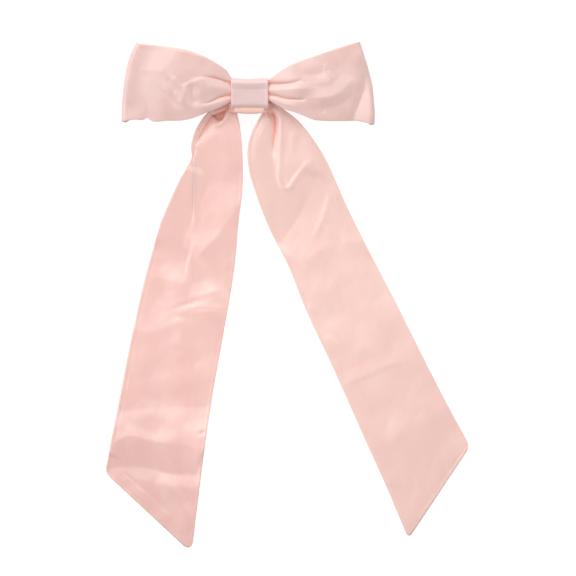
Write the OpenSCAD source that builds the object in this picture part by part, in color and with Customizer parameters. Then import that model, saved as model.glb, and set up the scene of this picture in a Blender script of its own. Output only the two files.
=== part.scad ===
// Satin bow barrette: a bow with two loops and two long tails, sewn to a sprung French clip.
// The bow lies face up. X runs along the clip, Y runs away from the tails, and Z towards the
// face of the bow. The origin is the middle of the clasp arm's flat underside.

/* [Bow loops] */
// Width of the bow over both loops
bow_w = 160; // [152:1:168]
// Height of the loops' front above the table
loop_h = 24; // [22:0.5:27]
// Thickness of the doubled satin
satin_t = 1; // [0.8:0.1:1.2]

/* [Knot] */
// Width of the knot band along the clip
knot_w = 23.6; // [22:0.2:25]
// Length of the knot band across the bow
knot_l = 19.8; // [19:0.2:21]
// Depth of the knot from its back to its front
knot_d = 8; // [7.6:0.2:9]

/* [Tails] */
// Thickness of a tail
tail_t = 1.2; // [0.9:0.1:1.5]
// Height of the tails' hinge line above the table
tail_root_z = 7.4; // [7:0.1:7.8]

/* [Clip] */
// Length of the clip's base plate
clip_l = 80; // [78:0.5:82]
// Width of the base plate
clip_w = 9; // [8.6:0.2:9.4]
// Thickness of the base plate
plate_t = 0.7; // [0.6:0.1:0.8]
// Height of the plate's underside at its two ends
plate_end_z = 4.5; // [4.3:0.1:4.8]
// How far the plate's middle stands above its ends
plate_rise = 4.5; // [4.3:0.1:4.8]
// Radius of the hinge pin
pin_r = 0.8; // [0.7:0.05:0.9]
// Radial play of the knuckle on the pin
pin_play = 0.05; // [0.03:0.01:0.08]

/* [Thread] */
// Thickness of the sewing thread
thread_t = 0.4; // [0.3:0.05:0.5]

/* [Hidden] */
$fn = 48;
SATIN = [0.93, 0.79, 0.77];
FOLD = [0.95, 0.72, 0.66];
THREAD = [0.9, 0.72, 0.7];
STEEL = [0.78, 0.78, 0.8];
FELT = [0.9, 0.82, 0.8];
far = 400;

// The plate's arch is part of a circle in the XZ plane.
arch_r = (clip_l * clip_l / 4 + plate_rise * plate_rise) / (2 * plate_rise);
arch_z = plate_end_z + plate_rise - arch_r;
plate_mid_z = plate_end_z + plate_rise;

// Layers at the knot, from the plate up to the face of the band
pad_t = 0.8;
pad_l = 56;
pad_w = 9;
gather_z = plate_mid_z + plate_t + pad_t;
gather_t = 2.1;
band_z = gather_z + gather_t;
band_t = 1;
band_r = 3.4;
waist_z = band_z + band_t;
waist_l = knot_l - 2 * band_t;
waist_d = knot_d - 2 * band_t;
waist_r = band_r - band_t;
winding_count = 6;
winding_pitch = 0.6;
winding_w = winding_count * winding_pitch;

// Tails
hinge_y = -18.2;
tail_gap = 0.9;

// Clasp arm, hinge and catch
hinge_x = -clip_l / 2 + 1.6;
knuckle_r = 1.6;
hinge_z = knuckle_r;
arm_t = 0.8;
arm_w = 5;
slot_l = 17;
slot_w = 1.8;
slot_x = [-19, 14];
ear_t = 0.7;
ear_in = 3;
knuckle_w = 2 * ear_in - 0.4;
catch_x = clip_l / 2 - 4;
frame_z = 2.2;
frame_l = 10.4;
frame_w = 10.4;
frame_corner_d = 13.3;
window_l = 7;
window_w = 6.6;
frame_ramp = 4;
tab_w = 5;
tab_t = 0.6;
tab_y = 2.5;
tab_pivot_z = 4.1;
tab_tip_z = 0.35;
tab_clear = 0.15;
barb_z = frame_z - 0.25;
barb_h = 1.1;
barb_out = window_w / 2 + 0.45;
rivet_r = 1;
rivet_head_r = 1.7;
rivet_foot_r = 1.4;
bar_l = 62;
bar_w = 6;
bar_t = 0.5;
bar_end_z = 3.9;
bar_rise = 2.7;
bar_r = (bar_l * bar_l / 4 + bar_rise * bar_rise) / (2 * bar_rise);
bar_z = bar_end_z + bar_rise - bar_r;
keeper_x = [-27.5, 25.5];
keeper_z = [3.65, 3.9];
keeper_w = 2.4;
keeper_t = 0.45;
keeper_gap = 0.2;
sew_hole_r = 1.1;
sew_x = [-31, 29];

// ---- curves ----

// A point on the smooth curve between b and c, with a before them and d after them.
function curve_point(a, b, c, d, t) =
  0.5 * (2 * b + (c - a) * t + (2 * a - 5 * b + 4 * c - d) * t * t
         + (3 * b - a - 3 * c + d) * t * t * t);

// A smooth curve through the points, with the given number of steps to a span.
function smooth(p, steps = 3) =
  let (last = len(p) - 1)
  [for (i = [0:last - 1], s = [0:steps - 1])
     curve_point(p[max(i - 1, 0)], p[i], p[i + 1], p[min(i + 2, last)], s / steps), p[last]];

function direction(a, b) = (b - a) / norm(b - a);

// The corner b between a and c, rounded over the given length of each side.
function rounded(a, b, c, length) =
  let (p = b + length * direction(b, a), q = b + length * direction(b, c))
  [for (t = [0:0.25:1]) (1 - t) * (1 - t) * p + 2 * t * (1 - t) * b + t * t * q];

function across(p, i) =
  let (d = direction(p[max(i - 1, 0)], p[min(i + 1, len(p) - 1)])) [-d[1], d[0]];

// A strip of even thickness along a path.
function strip(p, thickness) =
  [for (i = [0:len(p) - 1]) p[i] + across(p, i) * thickness / 2,
   for (i = [len(p) - 1:-1:0]) p[i] - across(p, i) * thickness / 2];

function reversed(p) = [for (i = [len(p) - 1:-1:0]) p[i]];

// ---- shared shapes ----

// Stands a shape drawn in XZ up, and runs it along Y from y0 to y1.
module run_y(y0, y1) translate([0, y1, 0]) rotate([90, 0, 0]) linear_extrude(y1 - y0) children();

// Stands a shape drawn in YZ up, and runs it along X from x0 to x1.
module run_x(x0, x1)
  translate([x0, 0, 0]) rotate([90, 0, 90]) linear_extrude(x1 - x0) children();

// A bent leaf whose underside follows a circle in XZ.
module arched_leaf(radius, centre_z, thickness, width)
  translate([0, 0, centre_z]) rotate([90, 0, 0])
    difference() {
      cylinder(r = radius + thickness, h = width, center = true, $fn = 360);
      cylinder(r = radius, h = width + 1, center = true, $fn = 360);
    }

// A flat strip with round ends, standing through the height of the part.
module strip_prism(length, width) {
  cube([length - width, width, far], center = true);
  for (side = [-1, 1])
    translate([side * (length - width) / 2, 0, 0])
      cylinder(d = width, h = far, center = true);
}

module rounded_box_2d(length, depth, radius)
  for (i = [0:1]) {
    translate([0, depth / 2]) square([length - 2 * i * radius, depth - 2 * (1 - i) * radius],
                                     center = true);
    for (y = [radius - length / 2, length / 2 - radius])
      translate([y, i == 0 ? radius : depth - radius]) circle(radius);
  }

// ---- bow ----

// The loop's side view: out along the front panel, round its end and back under it.
function loop_path() = smooth([
  [8, waist_z + waist_d - 1.4], [20, loop_h - 3], [40, loop_h - satin_t / 2],
  [60, loop_h - 2.2], [bow_w / 2 - 5, loop_h - 8], [bow_w / 2 - 1, loop_h / 2 - 1],
  [bow_w / 2 - 6, 4], [62, satin_t / 2], [47, 4.4], [34, 9.6], [20, 12.4], [8, waist_z + 0.9]
], 4);

// Front outlines of the loops, from the knot along the top edge and back along the bottom.
left_outline = concat(
  [[-knot_w / 2, 10.5]],
  smooth([[-16, 16], [-28, 24], [-38, 28], [-58, 31], [-bow_w / 2 - 8, 34]]),
  [[-bow_w / 2 - 8, -17.6]],
  smooth([[-42, -17.2], [-32, -13.8], [-22, -9.8], [-knot_w / 2, -5.6]])
);
right_outline = concat(
  smooth([[knot_w / 2, -6.4], [25, -11.6], [34, -15], [42, -17.6], [66, -18.6]]),
  [[bow_w / 2 + 8, -20.6], [bow_w / 2 + 8, 37.6]],
  smooth([[67, 33.6], [51, 28.4], [32, 21], [20, 15.6], [knot_w / 2, 10.5]])
);

// side is 1 for the right loop and -1 for the left one, and tilt turns its outer end.
module bow_loop(side, tilt, outline)
  color(SATIN) intersection() {
    rotate([0, 0, side * tilt]) mirror([side < 0 ? 1 : 0, 0, 0])
      run_y(-60, 60) polygon(strip(loop_path(), satin_t));
    linear_extrude(loop_h + 5) polygon(outline);
  }

module bow_loop_left() bow_loop(-1, 10, left_outline);

module bow_loop_right() bow_loop(1, 11, right_outline);

// The gathered middle of the bow strip, with a shallow groove for the winding.
module bow_waist()
  color(SATIN) difference() {
    run_x(-knot_w / 2, knot_w / 2) translate([0, waist_z])
      rounded_box_2d(waist_l, waist_d, waist_r);
    run_x(-winding_w / 2, winding_w / 2) translate([0, waist_z]) difference() {
      translate([-waist_l, -waist_d]) square([2 * waist_l, 3 * waist_d]);
      translate([0, thread_t])
        rounded_box_2d(waist_l - 2 * thread_t, waist_d - 2 * thread_t, waist_r - thread_t);
    }
  }

module gather_thread()
  color(THREAD) for (turn = [0:winding_count - 1]) {
    x = (turn - (winding_count - 1) / 2) * winding_pitch;
    run_x(x - thread_t / 2, x + thread_t / 2) translate([0, waist_z]) difference() {
      rounded_box_2d(waist_l, waist_d, waist_r);
      translate([0, thread_t])
        rounded_box_2d(waist_l - 2 * thread_t, waist_d - 2 * thread_t, waist_r - thread_t);
    }
  }

module knot_band()
  color(SATIN) run_x(-knot_w / 2, knot_w / 2) translate([0, band_z]) difference() {
    rounded_box_2d(knot_l, knot_d, band_r);
    translate([0, band_t]) rounded_box_2d(waist_l, waist_d, waist_r);
  }

// A row of whipped stitches that closes the band behind the knot.
module knot_stitches() {
  count = 5;
  pitch = 3.6;
  length = 2.4;
  seam_y = 5;
  color(THREAD) for (i = [0:count - 1])
    translate([(i - (count - 1) / 2) * pitch, seam_y - length / 2, band_z - thread_t / 4])
      rotate([-90, 0, 0]) cylinder(d = thread_t, h = length, $fn = 24);
}

// ---- tails ----

left_top = [-32, -7];
right_top = [4.5, 31];

// The folded middle of the tail ribbon, behind the knot, and the start of each tail.
module tail_gather() {
  fold_w = 18;
  fold_y = [-13.6, 3];
  root_t = 1.2;
  color(FOLD) {
    translate([-fold_w / 2, fold_y[0], gather_z]) cube([fold_w, fold_y[1] - fold_y[0], gather_t]);
    for (top = [left_top, right_top])
      hull() {
        translate([top[0] < 0 ? -fold_w / 2 : 1, -11.5, gather_z])
          cube([fold_w / 2 - 1, 6, gather_t]);
        translate([top[0], hinge_y + tail_gap, tail_root_z - root_t / 2])
          cube([top[1] - top[0], 0.5, root_t]);
      }
  }
}

// The tail's side view in YZ: down from the hinge line to the table, then flat along it.
function tail_profile() = strip(concat(smooth([
  [hinge_y - tail_gap, tail_root_z - 0.3], [-26, tail_root_z - 2.4], [-38, 2.2],
  [-50, tail_t / 2], [-60, tail_t / 2]
]), [[-far, tail_t / 2]]), tail_t);

module tail(outline)
  color(SATIN) intersection() {
    run_x(-far, far) polygon(tail_profile());
    linear_extrude(30) polygon(outline);
  }

module tail_left() {
  corner = [-92.6, -241.5];
  tip = [-41, -292];
  inner = [[left_top[1], hinge_y], [-5, -32], [-4.6, -52], [-9.6, -108], [-24, -193],
           [-30, -231], [-36.4, -286]];
  outer = [[-91, -232], [-83, -193], [-75, -154], [-64.6, -108], [-55, -78], [-41.6, -47],
           [-37.6, -33], [left_top[0], hinge_y]];
  tail(concat(smooth(inner), rounded(inner[6], tip, corner, 4.5),
              rounded(tip, corner, outer[0], 3), smooth(outer)));
}

module tail_right() {
  corner = [140.6, -224.4];
  tip = [101.4, -284];
  inner = [[right_top[0], hinge_y], [-1.2, -32], [-1.6, -43], [3.4, -62], [24, -108],
           [54.4, -178], [75, -224], [98.6, -277]];
  outer = [[137, -217], [115, -178], [92, -131], [68.5, -85], [54, -55], [47, -39], [37, -25],
           [right_top[1], hinge_y]];
  tail(concat(smooth(inner), rounded(inner[7], tip, corner, 3),
              rounded(tip, corner, outer[0], 3), smooth(outer)));
}

// ---- clip ----

module felt_pad()
  color(FELT) intersection() {
    arched_leaf(arch_r + plate_t, arch_z, pad_t, pad_w);
    strip_prism(pad_l, pad_w);
    translate([-far / 2, -far / 2, 0]) cube([far, far, 30]);
  }

// One hand stitch at x: up through the plate's hole, over, and down round the plate's edge.
module clip_stitch(x) {
  plate_z = arch_z + sqrt(arch_r * arch_r - x * x);
  low = plate_z - 0.6;
  high = plate_z + plate_t + 4;
  edge = clip_w / 2 + 0.5;
  color(THREAD) run_x(x - thread_t / 2, x + thread_t / 2) difference() {
    translate([-thread_t / 2, low]) square([edge + thread_t, high - low]);
    translate([thread_t / 2, low + thread_t]) square([edge - thread_t, high - low - 2 * thread_t]);
  }
}

module stitches_hinge_end() clip_stitch(sew_x[0]);

module stitches_catch_end() clip_stitch(sew_x[1]);

module base_plate()
  color(STEEL) difference() {
    union() {
      intersection() {
        arched_leaf(arch_r, arch_z, plate_t, clip_w);
        strip_prism(clip_l, clip_w);
        translate([-far / 2, -far / 2, 0]) cube([far, far, 30]);
      }
      hinge_ears();
      for (i = [0, 1])
        bar_keeper(keeper_x[i], keeper_z[i]);
    }
    for (x = sew_x)
      translate([x, 0, 0]) cylinder(r = sew_hole_r, h = 30);
    translate([catch_x, 0, 0]) cylinder(r = rivet_r, h = 30);
    translate([hinge_x, 0, hinge_z]) rotate([90, 0, 0])
      cylinder(r = pin_r, h = 2 * clip_w, center = true);
  }

// Two ears bent down from the plate's hinge end to hold the pin.
module hinge_ears() {
  ear_l = 4.4;
  for (y = [-ear_in - ear_t, ear_in])
    run_y(y, y + ear_t) intersection() {
      union() {
        translate([hinge_x, hinge_z]) circle(knuckle_r - 0.1);
        translate([hinge_x - knuckle_r + 0.1, hinge_z]) square([ear_l, 6]);
      }
      translate([0, arch_z]) circle(arch_r + plate_t / 2, $fn = 360);
    }
}

// A staple under the plate that holds the tension bar.
module bar_keeper(x, z) {
  inside = bar_w + 2 * keeper_gap;
  outside = inside + 2 * keeper_t;
  intersection() {
    translate([x - keeper_w / 2, 0, 0]) difference() {
      translate([0, -outside / 2, z]) cube([keeper_w, outside, far]);
      translate([-1, -inside / 2, z + keeper_t]) cube([keeper_w + 2, inside, far]);
    }
    translate([0, 0, arch_z]) rotate([90, 0, 0])
      cylinder(r = arch_r + plate_t / 2, h = clip_w, center = true, $fn = 360);
  }
}

module hinge_pin() {
  head_r = 1.2;
  head_t = 0.5;
  shank = 2 * (ear_in + ear_t);
  color(STEEL) translate([hinge_x, 0, hinge_z]) rotate([90, 0, 0]) {
    cylinder(r = pin_r, h = shank, center = true);
    for (z = [-shank / 2 - head_t, shank / 2])
      translate([0, 0, z]) cylinder(r = head_r, h = head_t);
  }
}

// Side view of the arm, from the knuckle to the raised end frame.
module arm_side() {
  start = catch_x - frame_l / 2;
  polygon([
    [hinge_x, 0], [start - frame_ramp, 0], [start, frame_z], [catch_x + frame_l / 2, frame_z],
    [catch_x + frame_l / 2, frame_z + arm_t], [start - 0.4, frame_z + arm_t],
    [start - frame_ramp - 0.4, arm_t], [hinge_x, arm_t]
  ]);
}

module clasp_arm() {
  neck = catch_x - frame_l / 2 - frame_ramp;
  color(STEEL) difference() {
    union() {
      intersection() {
        run_y(-frame_w / 2, frame_w / 2) arm_side();
        union() {
          translate([hinge_x, -arm_w / 2, 0]) cube([neck - hinge_x + 1, arm_w, 6]);
          linear_extrude(6) polygon([[neck, -arm_w / 2], [neck + frame_ramp, -frame_w / 2],
                                     [neck + frame_ramp, frame_w / 2], [neck, arm_w / 2]]);
          translate([catch_x, 0, 0]) intersection() {
            cube([frame_l, frame_w, 12], center = true);
            cylinder(d = frame_corner_d, h = 12);
          }
        }
      }
      translate([hinge_x, 0, hinge_z]) rotate([90, 0, 0])
        cylinder(r = knuckle_r, h = knuckle_w, center = true);
    }
    translate([hinge_x, 0, hinge_z]) rotate([90, 0, 0])
      cylinder(r = pin_r + pin_play, h = 2 * clip_w, center = true);
    translate([catch_x - window_l / 2, -window_w / 2, 0]) cube([window_l, window_w, 6]);
    for (x = slot_x)
      translate([x, 0, 0]) strip_prism(slot_l, slot_w);
  }
}

module tension_bar()
  color(STEEL) intersection() {
    arched_leaf(bar_r, bar_z, bar_t, bar_w);
    strip_prism(bar_l, bar_w);
    translate([-far / 2, -far / 2, 0]) cube([far, far, 30]);
  }

// The riveted saddle of the catch. Its top follows the plate's underside.
module catch_saddle()
  color(STEEL) difference() {
    intersection() {
      translate([catch_x - tab_w / 2, -tab_y - tab_t / 2, tab_pivot_z + tab_clear])
        cube([tab_w, 2 * tab_y + tab_t, 5]);
      translate([0, 0, arch_z]) rotate([90, 0, 0])
        cylinder(r = arch_r, h = far, center = true, $fn = 360);
    }
    translate([catch_x, 0, 0]) cylinder(r = rivet_r, h = 30);
  }

// A springy tab of the catch, whose barb holds the arm's frame. side is 1 or -1 in Y.
module catch_tab(side) {
  inner = tab_y - tab_t / 2;
  outer = tab_y + tab_t / 2;
  color(STEEL) mirror([0, side < 0 ? 1 : 0, 0])
    run_x(catch_x - tab_w / 2, catch_x + tab_w / 2)
      polygon([[inner, tab_pivot_z], [inner, tab_tip_z], [outer, tab_tip_z],
               [barb_out, barb_z - 0.4], [barb_out, barb_z], [outer, barb_z],
               [outer, tab_pivot_z]]);
}

module catch_tab_upper() catch_tab(1);

module catch_tab_lower() catch_tab(-1);

module catch_rivet() {
  head_t = 0.4;
  top = arch_z + sqrt((arch_r + plate_t) * (arch_r + plate_t) - catch_x * catch_x) + 0.3;
  low = tab_pivot_z + tab_clear;
  color(STEEL) translate([catch_x, 0, 0]) {
    translate([0, 0, low]) cylinder(r = rivet_r, h = top - low);
    translate([0, 0, top]) cylinder(r = rivet_head_r, h = head_t);
    translate([0, 0, low - head_t]) cylinder(r = rivet_foot_r, h = head_t);
  }
}

bow_loop_left();
bow_loop_right();
bow_waist();
gather_thread();
knot_band();
knot_stitches();
tail_gather();
tail_left();
tail_right();
felt_pad();
stitches_hinge_end();
stitches_catch_end();
base_plate();
hinge_pin();
clasp_arm();
tension_bar();
catch_saddle();
catch_tab_upper();
catch_tab_lower();
catch_rivet();
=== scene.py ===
"""Looks for the satin bow barrette: cloth pieces, thread, metal finishes, light and camera.

Lengths are millimetres until a mesh or curve is made.
"""

import math

import bpy
import numpy as np
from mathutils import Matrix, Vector


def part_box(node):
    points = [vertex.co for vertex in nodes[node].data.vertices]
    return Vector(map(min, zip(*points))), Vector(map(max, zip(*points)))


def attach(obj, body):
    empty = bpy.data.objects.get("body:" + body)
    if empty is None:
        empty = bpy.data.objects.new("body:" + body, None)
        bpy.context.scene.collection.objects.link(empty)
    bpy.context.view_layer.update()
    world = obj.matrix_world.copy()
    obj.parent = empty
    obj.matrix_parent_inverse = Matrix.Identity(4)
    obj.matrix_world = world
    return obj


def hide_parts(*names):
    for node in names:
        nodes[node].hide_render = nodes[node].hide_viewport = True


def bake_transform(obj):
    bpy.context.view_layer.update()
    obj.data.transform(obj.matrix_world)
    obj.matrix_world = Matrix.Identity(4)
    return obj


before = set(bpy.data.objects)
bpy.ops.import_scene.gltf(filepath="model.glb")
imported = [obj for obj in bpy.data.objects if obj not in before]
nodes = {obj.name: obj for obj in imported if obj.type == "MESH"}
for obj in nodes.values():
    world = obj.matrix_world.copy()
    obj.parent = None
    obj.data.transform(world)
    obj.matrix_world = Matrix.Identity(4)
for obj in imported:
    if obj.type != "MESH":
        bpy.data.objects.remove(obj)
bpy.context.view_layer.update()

MM = 0.001
UV_PER_MM = 0.01


def box_mm(node):
    """Lowest and highest corner of a CAD node, in millimetres."""
    low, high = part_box(node)
    return np.array(low) / MM, np.array(high) / MM


BAND_LOW, BAND_HIGH = box_mm("knot_band")
WAIST_LOW, WAIST_HIGH = box_mm("bow_waist")
GATHER_TOP = box_mm("tail_gather")[1][2]
LOOP_TOP = box_mm("bow_loop_left")[1][2]
KNOT_X = BAND_HIGH[0]
CLOTH_T = 1.0
TINY = 1e-12


# ---------------------------------------------------------------- curves and falloffs


def unit(vectors):
    """The vectors at length 1. TINY keeps a zero vector from dividing by zero."""
    return vectors / (np.linalg.norm(vectors, axis=-1, keepdims=True) + TINY)


def run_along(points):
    """Distance along a line of points, from its start to each of them."""
    steps = np.linalg.norm(np.diff(points, axis=0), axis=1)
    return np.concatenate([[0], np.cumsum(steps)])


def resample(points, run, at):
    """Points at the given distances along a line of points."""
    return np.stack([np.interp(at, run, column) for column in points.T], -1)


def cubic(f, span, start, end, start_slope, end_slope):
    """The cubic at share f of a span, with the given values and slopes at its ends."""
    return (
        (2 * f**3 - 3 * f**2 + 1) * start
        + (f**3 - 2 * f**2 + f) * span * start_slope
        + (3 * f**2 - 2 * f**3) * end
        + (f**3 - f**2) * span * end_slope
    )


def curve_at(points, places, t):
    """A smooth curve at t, where each of its points has its own place along it."""
    slope = np.gradient(points, places, axis=0)
    i = np.clip(np.searchsorted(places, t, side="right") - 1, 0, len(points) - 2)
    span = (places[i + 1] - places[i])[..., None]
    f = (t - places[i])[..., None] / span
    return cubic(f, span, points[i], points[i + 1], slope[i], slope[i + 1])


def spline(points):
    """A smooth curve through the points, as a function of 0 to 1 along its chords."""
    p = np.asarray(points, float)
    places = run_along(p)
    places /= places[-1]
    return lambda t: curve_at(p, places, np.clip(np.asarray(t, float), 0, 1))


def blend_heights(s, points):
    """Heights that pass smoothly through (place, height) points, without overshoot."""
    x, y = np.array(points, float).T
    secant = np.diff(y) / np.diff(x)
    slope = np.concatenate([[secant[0]], 0.5 * (secant[1:] + secant[:-1]), [secant[-1]]])
    slope[1:-1] *= secant[1:] * secant[:-1] > 0
    i = np.clip(np.searchsorted(x, s, side="right") - 1, 0, len(x) - 2)
    span = x[i + 1] - x[i]
    return cubic((s - x[i]) / span, span, y[i], y[i + 1], slope[i], slope[i + 1])


def ramp(x, low, high):
    """0 below low, 1 above high, and smooth between."""
    t = np.clip((x - low) / (high - low), 0, 1)
    return t * t * (3 - 2 * t)


def fade(along, start, end):
    """Grows over the first share of a line and dies over its last share."""
    grow = ramp(along, 0, start) if start > 0 else 1.0
    die = 1 - ramp(along, 1 - end, 1) if end > 0 else 1.0
    return grow * die


def bell(distance, width):
    """1 on a line, and falling smoothly to nothing beside it."""
    return np.exp(-((distance / width) ** 2))


def spaced(length, step, edge=1.2):
    """Shares of a length, close together near both ends so that edges come out round."""
    near = np.array([0, 0.04, 0.12, 0.26, 0.48, 0.8]) * edge
    middle = np.linspace(edge, length - edge, max(2, int(round(length / step))))
    return np.concatenate([near, middle, length - near[::-1]]) / length


# ---------------------------------------------------------------- folds


def beside(line, xy, samples=90):
    """Each point's share along the line, and its distance from it: positive on its left."""
    path = spline(line)(np.linspace(0, 1, samples))
    flat = xy.reshape(-1, 2)
    best = np.full(len(flat), np.inf)
    along = np.zeros(len(flat))
    offset = np.zeros(len(flat))
    for i in range(samples - 1):
        a, b = path[i], path[i + 1]
        d = b - a
        length = np.hypot(*d)
        t = np.clip(((flat - a) @ d) / length**2, 0, 1)
        gap = flat - (a + t[:, None] * d)
        distance = np.hypot(gap[:, 0], gap[:, 1])
        side = np.sign(d[0] * gap[:, 1] - d[1] * gap[:, 0])
        nearer = distance < best
        best = np.where(nearer, distance, best)
        along = np.where(nearer, (i + t) / (samples - 1), along)
        offset = np.where(nearer, side * distance, offset)
    return along.reshape(xy.shape[:-1]), offset.reshape(xy.shape[:-1])


def between(value, along):
    """A number, or two numbers that a line goes between."""
    if np.isscalar(value):
        return value
    return value[0] + (value[1] - value[0]) * along


def ridge(cloth, line, height, width, start=0.3, end=0.3):
    """A soft rounded fold, up or down."""
    along, off = beside(line, cloth[..., :2])
    lift = between(height, along) * fade(along, start, end)
    cloth[..., 2] += lift * bell(off, between(width, along))


def crease(cloth, line, depth, width, start=0.0, end=0.4):
    """A sharp narrow valley."""
    tip = 0.2
    along, off = beside(line, cloth[..., :2])
    lift = between(depth, along) * fade(along, start, end)
    spread = np.sqrt(off**2 + tip**2) / between(width, along)
    cloth[..., 2] -= lift * np.exp(-spread)


def lip(cloth, line, height, sharp, decay, start=0.0, end=0.4):
    """The cloth on the line's left side stands over the cloth on its right."""
    along, off = beside(line, cloth[..., :2])
    lift = between(height, along) * fade(along, start, end)
    cloth[..., 2] += lift * np.tanh(off / sharp) * np.exp(-np.abs(off) / decay)


def pleat(cloth, line, overlap, height, width, start=0.0, end=0.4):
    """The cloth on the line's left side laps over the cloth on its right."""
    full_height = 2.33  # brings the curve's peak to 1
    step = 0.01
    along, off = beside(line, cloth[..., :2])
    amount = fade(along, start, end)
    bump = full_height * off / width * bell(off, width)
    path = spline(line)
    ahead = unit(path(along + step) - path(along - step))
    left = np.stack([-ahead[..., 1], ahead[..., 0]], -1)
    cloth[..., :2] -= left * (between(overlap, along) * amount * bump)[..., None]
    cloth[..., 2] += between(height, along) * amount * bump


def wave(cloth, line, height, left, right, start=0.25, end=0.25):
    """A crest along the line, or a valley if height is negative, with two widths of flank."""
    crest, foot = 0.5, 0.2
    along, off = beside(line, cloth[..., :2])
    reach = 1 - np.sqrt(off**2 + crest**2) / np.where(off > 0, left, right)
    flank = np.where(reach > 0, (1 + foot) * reach**2 / (np.abs(reach) + foot), 0)
    cloth[..., 2] += between(height, along) * fade(along, start, end) * flank


def dent(cloth, centre, radii, turn, depth, edge=0.35):
    """An oval hollow with steep sides. turn is in degrees."""
    c, s = math.cos(math.radians(turn)), math.sin(math.radians(turn))
    d = cloth[..., :2] - np.array(centre)
    a = (d[..., 0] * c + d[..., 1] * s) / radii[0]
    b = (d[..., 1] * c - d[..., 0] * s) / radii[1]
    cloth[..., 2] -= depth * (1 - ramp(np.hypot(a, b), edge, 1.0))


def pocket(cloth, corners, depth, edge):
    """A hollow with straight sides. The corners run anticlockwise."""
    inside = np.full(cloth.shape[:2], np.inf)
    for a, b in zip(corners, corners[1:] + corners[:1]):
        along = np.subtract(b, a) / math.dist(a, b)
        gap = cloth[..., :2] - np.array(a)
        inside = np.minimum(inside, along[0] * gap[..., 1] - along[1] * gap[..., 0])
    cloth[..., 2] -= depth * ramp(inside, 0, edge)


def undulate(cloth, wavelength, height, seed, weight=1.0):
    """Gentle uneven waves, the same on every run."""
    waves = 14
    rng = np.random.default_rng(seed)
    total = 0
    for _ in range(waves):
        angle = rng.uniform(0, math.tau)
        k = math.tau / (wavelength * rng.uniform(0.7, 1.5))
        phase = rng.uniform(0, math.tau)
        x = cloth[..., 0] * math.cos(angle) + cloth[..., 1] * math.sin(angle)
        total = total + np.cos(k * x + phase)
    cloth[..., 2] += weight * height * total / math.sqrt(waves)


# ---------------------------------------------------------------- meshes


def normals(cloth):
    """Unit normals of a grid of points."""
    return unit(np.cross(np.gradient(cloth, axis=0), np.gradient(cloth, axis=1)))


def round_half(from_edge, reach):
    """1 inside a sheet, and falling to 0 at its edge along a quarter circle."""
    share = np.clip(from_edge / reach, 0, 1)
    return np.sqrt(1 - (1 - share) ** 2)


def edge_distance(cloth, axis):
    """How far each point lies from the nearer end of a grid direction, and from its start."""
    step = np.linalg.norm(np.diff(cloth, axis=axis), axis=-1)
    run = np.cumsum(step, axis=axis)
    start = np.zeros_like(np.take(run, [0], axis=axis))
    run = np.concatenate([start, run], axis=axis)
    total = np.take(run, [-1], axis=axis)
    return np.minimum(run, total - run), run


def doubled(name, cloth, thickness, material, seam=0.0):
    """A closed mesh of doubled cloth round its middle surface, with round folded edges.

    seam is the share of the thickness that is pressed in along a line near the edges.
    """
    seam_at, seam_width = 2.6, 0.55
    across, run_u = edge_distance(cloth, 0)
    along, run_v = edge_distance(cloth, 1)
    from_edge = np.minimum(across, along)
    half = 0.5 * thickness * round_half(from_edge, 0.9 * thickness)
    half = half * (1 - seam * bell(from_edge - seam_at, seam_width))
    lift = normals(cloth) * half[..., None]
    return shell(name, cloth + lift, cloth - lift, material, np.stack([run_u, run_v], -1))


def shell(name, front, back, material, uv_mm, ring=False):
    """A closed mesh of two grids that share their border. A ring's last column joins its first."""
    rows, cols = front.shape[:2]
    index = np.arange(rows * cols).reshape(rows, cols)
    under = index + rows * cols
    under[[0, -1]] = index[[0, -1]]
    if not ring:
        under[:, [0, -1]] = index[:, [0, -1]]
    faces = []
    for grid, flip in ((index, False), (under, True)):
        if ring:
            grid = np.concatenate([grid, grid[:, :1]], 1)
        quad = np.stack([grid[:-1, :-1], grid[1:, :-1], grid[1:, 1:], grid[:-1, 1:]], -1)
        quad = quad.reshape(-1, 4)
        faces.append(quad[:, ::-1] if flip else quad)
    faces = np.concatenate(faces)
    used, packed = np.unique(faces, return_inverse=True)
    verts = np.concatenate([front.reshape(-1, 3), back.reshape(-1, 3)])[used]
    uv = np.tile(uv_mm.reshape(-1, 2), (2, 1))[used]
    return make_mesh(name, verts, packed.reshape(faces.shape).tolist(), material, uv)


def make_mesh(name, verts_mm, faces, material, uv_mm=None):
    """A smooth mesh. One unit of its UV map is 100 mm of cloth."""
    mesh = bpy.data.meshes.new(name)
    mesh.from_pydata((np.asarray(verts_mm) * MM).tolist(), [], faces)
    mesh.shade_smooth()
    if uv_mm is not None:
        layer = mesh.uv_layers.new(name="cloth")
        loop_vert = np.zeros(len(mesh.loops), int)
        mesh.loops.foreach_get("vertex_index", loop_vert)
        layer.data.foreach_set("uv", (uv_mm[loop_vert] * UV_PER_MM).ravel())
    mesh.materials.append(material)
    return place_object(name, mesh)


def place_object(name, data):
    """Puts a mesh, curve, light or camera into the scene."""
    piece = bpy.data.objects.new(name, data)
    bpy.context.scene.collection.objects.link(piece)
    return piece


# ---------------------------------------------------------------- materials


def link(tree, a, b):
    tree.links.new(a, b)


def add(tree, kind, **values):
    """A new shader node. Each value goes to an input of that name, or else to a setting."""
    node = tree.nodes.new(kind)
    for key, value in values.items():
        if key in node.inputs:
            node.inputs[key].default_value = value
        else:
            setattr(node, key, value)
    return node


def new_material(name):
    """A material, its node tree and its main shader."""
    material = bpy.data.materials.new(name)
    material.use_nodes = True
    tree = material.node_tree
    return material, tree, tree.nodes["Principled BSDF"]


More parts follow.
